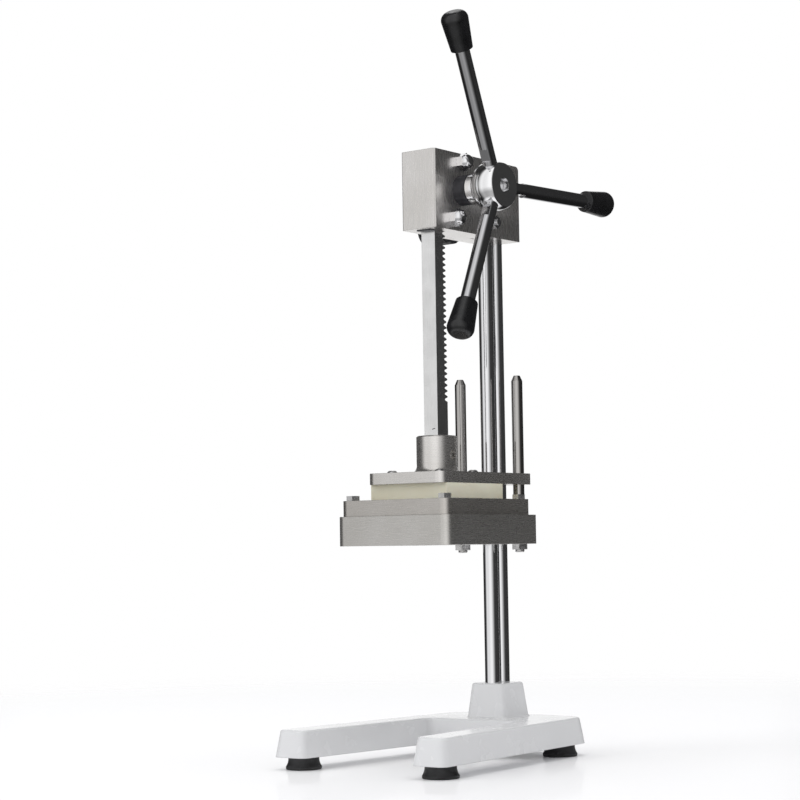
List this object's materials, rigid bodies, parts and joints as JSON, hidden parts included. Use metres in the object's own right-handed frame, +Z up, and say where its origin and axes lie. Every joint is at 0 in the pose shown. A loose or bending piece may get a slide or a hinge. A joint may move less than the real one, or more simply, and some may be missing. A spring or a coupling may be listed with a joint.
{
  "type": "french fry cutter",
  "caption": "Upright hand press that forces a potato through crossed blades with a rack, a pinion and a star handle.",
  "frame": {"origin": "on the floor plane under the feet, under the middle of the whole machine: the posts stand 71 mm behind it", "axes": "+Z up along the posts and the rack; +X to the machine's right, the handle side; -Y to the front, where the base legs point"},
  "size_m": [0.2246, 0.3668, 0.7945],
  "materials": {
    "white_paint": "gloss white enamel",
    "black_rubber": "matt",
    "chrome": "bright plate",
    "polished_steel": "ground steel",
    "satin_alloy": "satin machined casting",
    "blade_steel": "ground strip",
    "zinc_fastener": "zinc plated",
    "bronze": "sintered bronze",
    "black_bush": "dark acetal",
    "cream_nylon": "cream white nylon",
    "black_plastic": "black moulded plastic"
  },
  "bodies": {
    "root": {"base_casting": "white_paint", "rubber_foot_front_left": "black_rubber", "rubber_foot_front_right": "black_rubber", "rubber_foot_rear_left": "black_rubber", "rubber_foot_rear_right": "black_rubber", "foot_screws": "zinc_fastener", "post_front": "chrome", "post_rear": "chrome", "post_lock_screws": "zinc_fastener", "blade_table": "satin_alloy", "table_clamp_cap": "satin_alloy", "table_clamp_screws": "zinc_fastener", "blade_frame": "satin_alloy", "blades_lower": "blade_steel", "blades_upper": "blade_steel", "blade_frame_bolts": "zinc_fastener", "guide_pin_left": "polished_steel", "guide_pin_right": "polished_steel", "guide_pin_nuts": "zinc_fastener", "head_block": "satin_alloy", "spindle_bush_right": "black_bush", "spindle_bush_left": "black_bush", "rack_guide": "black_bush", "guide_studs": "chrome", "acorn_nuts": "chrome", "clamp_stud": "chrome", "clamp_nut": "chrome"},
    "press": {"rack_bar": "polished_steel", "press_plate": "satin_alloy", "rack_set_screw": "zinc_fastener", "pusher_block": "cream_nylon", "pusher_screws": "zinc_fastener", "plate_bushes": "bronze"},
    "handle": {"pinion_shaft": "polished_steel", "shaft_retaining_ring": "zinc_fastener", "star_hub": "chrome", "hub_grub_screw": "zinc_fastener", "handle_arm_up": "chrome", "handle_arm_rear": "chrome", "handle_arm_down": "chrome", "handle_knob_up": "black_plastic", "handle_knob_rear": "black_plastic", "handle_knob_down": "black_plastic"},
    "clamp": {"clamp_knob": "black_plastic"}
  },
  "joints": [
    {"name": "press_slide", "type": "slide", "parent": "root", "child": "press", "axis": [0, 0, 1], "range_m": [0, 0.2]},
    {"name": "handle_turn", "type": "hinge", "parent": "root", "child": "handle", "pos_m": [0, -0.0133, 0.6205], "axis": [-1, 0, 0], "range_deg": [-1, 765]},
    {"name": "clamp_turn", "type": "hinge", "parent": "root", "child": "clamp", "pos_m": [-0.0231, 0.0445, 0.592], "axis": [1, 0, 0], "range_deg": [0, 360]}
  ],
  "couplings": [
    {"joint": "handle_turn", "follows": "press_slide", "rad_per_m": 66.667}
  ]
}
